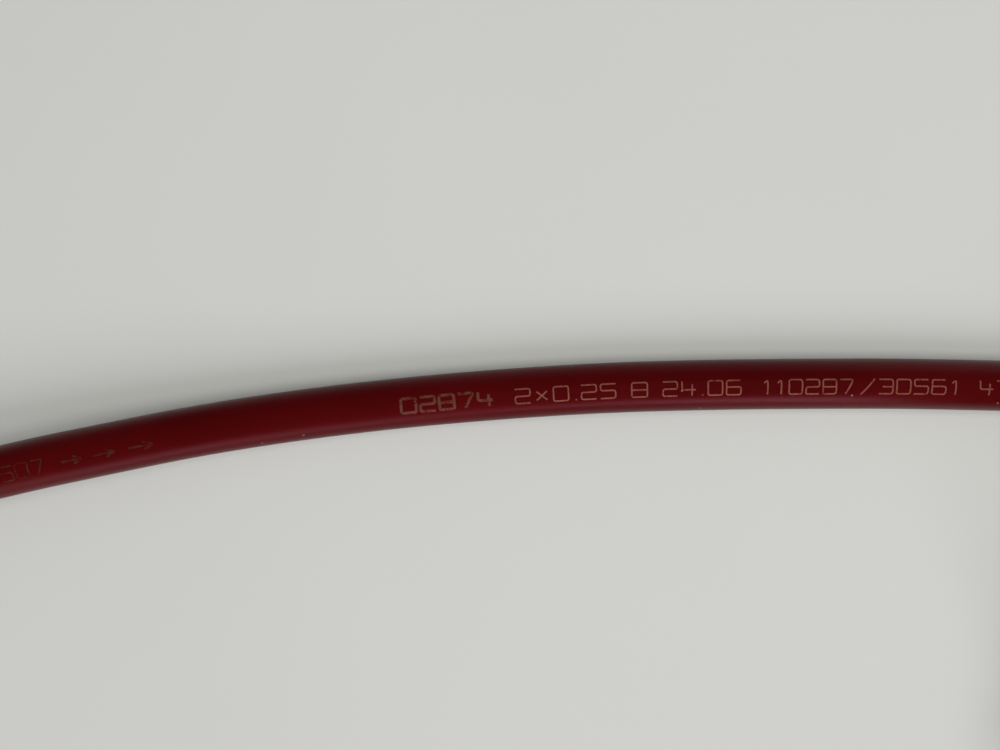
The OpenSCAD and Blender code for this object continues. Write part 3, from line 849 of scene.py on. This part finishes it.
def face_numbers(name, place, centres, finishes):
    """Raised numbers 1, 2 and 3 beside the contacts. place(u, v, height) puts a point on the insert's face."""
    ribbons = Ribbons()
    width, height, stroke = 1.1 * MM, 1.3 * MM, 0.2 * MM
    sunk, proud = -0.05 * MM, 0.06 * MM
    for text, (u, v) in zip("123", centres):
        write_marks(ribbons, text, u, width, height, stroke,
                    lambda a, b, lift, v=v: place(a, b + v, lift), sunk, proud, stroke)
    made = ribbons.finish(name)
    made.data.materials.append(insert_black(finishes))
    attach(made, CABLE_BODY)
    return made


class AUDIOCABLE_OT_plug(bpy.types.Operator):
    """Finish the pin connector and add the numbers beside its pins"""

    bl_idname = "audiocable.plug"
    bl_label = "Finish Plug"

    def execute(self, context):
        finishes = context.scene.cable_finishes
        connector_finishes("plug", finishes)
        dress("plug_pins", contact_gold(finishes))
        face_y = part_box("plug_insert")[0].y

        def place(u, v, lift):
            return (PLUG_X + u, face_y - lift, AXIS_Z + v)

        centres = [(-1.25 * MM, 2.9 * MM), (0.25 * MM, 2.9 * MM), (1.7 * MM, -4.6 * MM)]
        face_numbers("plug_numbers", place, centres, finishes)
        return {"FINISHED"}


class AUDIOCABLE_OT_socket(bpy.types.Operator):
    """Finish the socket connector with its latch, and add the numbers beside its contacts"""

    bl_idname = "audiocable.socket"
    bl_label = "Finish Socket"

    def execute(self, context):
        finishes = context.scene.cable_finishes
        connector_finishes("socket", finishes)
        dress("socket_contacts", contact_gold(finishes))
        dress("socket_latch", plated_finish("latch_satin", (0.5, 0.5, 0.5), 0.34))
        dress("latch_spring", plated_finish("spring_bright", (0.66, 0.66, 0.67), 0.22))
        face_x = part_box("socket_insert")[0].x

        def place(u, v, lift):
            return (face_x - lift, SOCKET_Y - u, AXIS_Z + v)

        centres = [(-0.55 * MM, 3.6 * MM), (-4.6 * MM, -0.2 * MM), (2.0 * MM, -4.6 * MM)]
        face_numbers("socket_numbers", place, centres, finishes)
        return {"FINISHED"}


# ---- stage ----

# Soft lights: place, size and colour
FRONT_LIGHT = ((0.226, -0.912, 0.99), (1.1, 0.9), (1.0, 0.985, 1.0))
OVERHEAD_LIGHT = ((0.24, 0.09, 0.75), (0.45, 0.45), (1.0, 0.992, 0.94))

# Surroundings that the gloss mirrors, by the parts of a direction along Z, Y and X
WALL_TOP = (0.3, 0.52)        # where the walls fade into the ceiling
WINDOW_EDGE = (-0.75, -0.35)  # where the window fades into the walls
WALL_SPAN = (-0.6, 0.5)       # where they brighten from the left to the right
WALL_LEVELS = (0.2, 1.9)

FLOOR_REACH = 12.0
FLOOR_LEVEL = -0.05 * MM


def soft_light(name, power, at, size, color):
    """A rectangular soft light at a place, turned to the laid-out stretch. Gloss doesn't mirror it."""
    data = bpy.data.lights.new(name, "AREA")
    data.shape = "RECTANGLE"
    data.size, data.size_y = size
    data.energy = power
    data.color = color
    made = bpy.data.objects.new(name, data)
    made.location = at
    made.rotation_euler = (VIEW_CENTRE - Vector(at)).to_track_quat("-Z", "Y").to_euler()
    made.visible_glossy = False
    made.visible_camera = False
    bpy.context.scene.collection.objects.link(made)


def studio_world(looks):
    """Even light all round and a pale backdrop. The gloss mirrors a dark ceiling, walls and a window in front."""
    world = bpy.data.worlds.new("studio")
    world.use_nodes = True
    tree = world.node_tree
    ray = add_node(tree, "LightPath").outputs
    where = add_node(tree, "TexCoord").outputs["Generated"]
    direction = add_node(tree, "SeparateXYZ", {0: where}).outputs
    low = ranged(tree, direction["Z"], 1, 0, *WALL_TOP)
    wall = ranged(tree, direction["Y"], looks.window, looks.walls, *WINDOW_EDGE)
    rightward = ranged(tree, direction["X"], *WALL_LEVELS, *WALL_SPAN)
    lit = add_node(tree, "Math", {0: wall, 1: rightward}, operation="MULTIPLY").outputs[0]
    level = add_node(tree, "Math", {0: low, 1: lit, 2: looks.ceiling}, operation="MULTIPLY_ADD").outputs[0]
    mirrored = add_node(tree, "CombineColor", {"Red": level, "Green": level, "Blue": level}).outputs["Color"]
    fill = (0.96 * looks.fill, 0.98 * looks.fill, looks.fill)
    seen = mixed(tree, ray["Is Glossy Ray"], fill, mirrored)
    seen = mixed(tree, ray["Is Camera Ray"], seen, looks.backdrop)
    tree.links.new(seen, tree.nodes["Background"].inputs["Color"])
    return world


class AUDIOCABLE_OT_stage(bpy.types.Operator):
    """Add the pale floor and the soft studio lights"""

    bl_idname = "audiocable.stage"
    bl_label = "Add Stage"

    def execute(self, context):
        looks = context.scene.stage_looks
        corners = [(x * FLOOR_REACH, y * FLOOR_REACH, FLOOR_LEVEL) for x, y in ((-1, -1), (1, -1), (1, 1), (-1, 1))]
        floor = add_object("floor", corners, [(0, 1, 2, 3)], smooth=False)
        floor.data.materials.append(floor_finish(looks.floor))
        soft_light("front", looks.front_power, *FRONT_LIGHT)
        soft_light("overhead", looks.overhead_power, *OVERHEAD_LIGHT)
        context.scene.world = studio_world(looks)
        context.scene.view_settings.view_transform = "Standard"
        return {"FINISHED"}


class AUDIOCABLE_PT_panel(bpy.types.Panel):
    """Lists the steps and their settings in the sidebar"""

    bl_idname = "AUDIOCABLE_PT_panel"
    bl_label = "Audio Cable"
    bl_space_type = "VIEW_3D"
    bl_region_type = "UI"
    bl_category = "Audio Cable"

    def draw(self, context):
        for group in (context.scene.cable_sizes, context.scene.cable_finishes, context.scene.stage_looks):
            box = self.layout.box()
            for name in group.bl_rna.properties.keys():
                if name not in ("rna_type", "name"):
                    box.prop(group, name)
        for step in STEPS:
            self.layout.operator(step.bl_idname)


STEPS = (
    AUDIOCABLE_OT_camera,
    AUDIOCABLE_OT_cable,
    AUDIOCABLE_OT_plug,
    AUDIOCABLE_OT_socket,
    AUDIOCABLE_OT_stage,
)
CLASSES = (CableSizes, CableFinishes, StageLooks, *STEPS, AUDIOCABLE_PT_panel)


def register():
    for cls in CLASSES:
        bpy.utils.register_class(cls)
    bpy.types.Scene.cable_sizes = PointerProperty(type=CableSizes)
    bpy.types.Scene.cable_finishes = PointerProperty(type=CableFinishes)
    bpy.types.Scene.stage_looks = PointerProperty(type=StageLooks)


def unregister():
    del bpy.types.Scene.stage_looks
    del bpy.types.Scene.cable_finishes
    del bpy.types.Scene.cable_sizes
    for cls in reversed(CLASSES):
        bpy.utils.unregister_class(cls)


def main():
    """Builds everything in order."""
    register()
    bpy.ops.audiocable.camera()
    bpy.ops.audiocable.cable()
    bpy.ops.audiocable.plug()
    bpy.ops.audiocable.socket()
    bpy.ops.audiocable.stage()


if __name__ == "__main__":
    main()
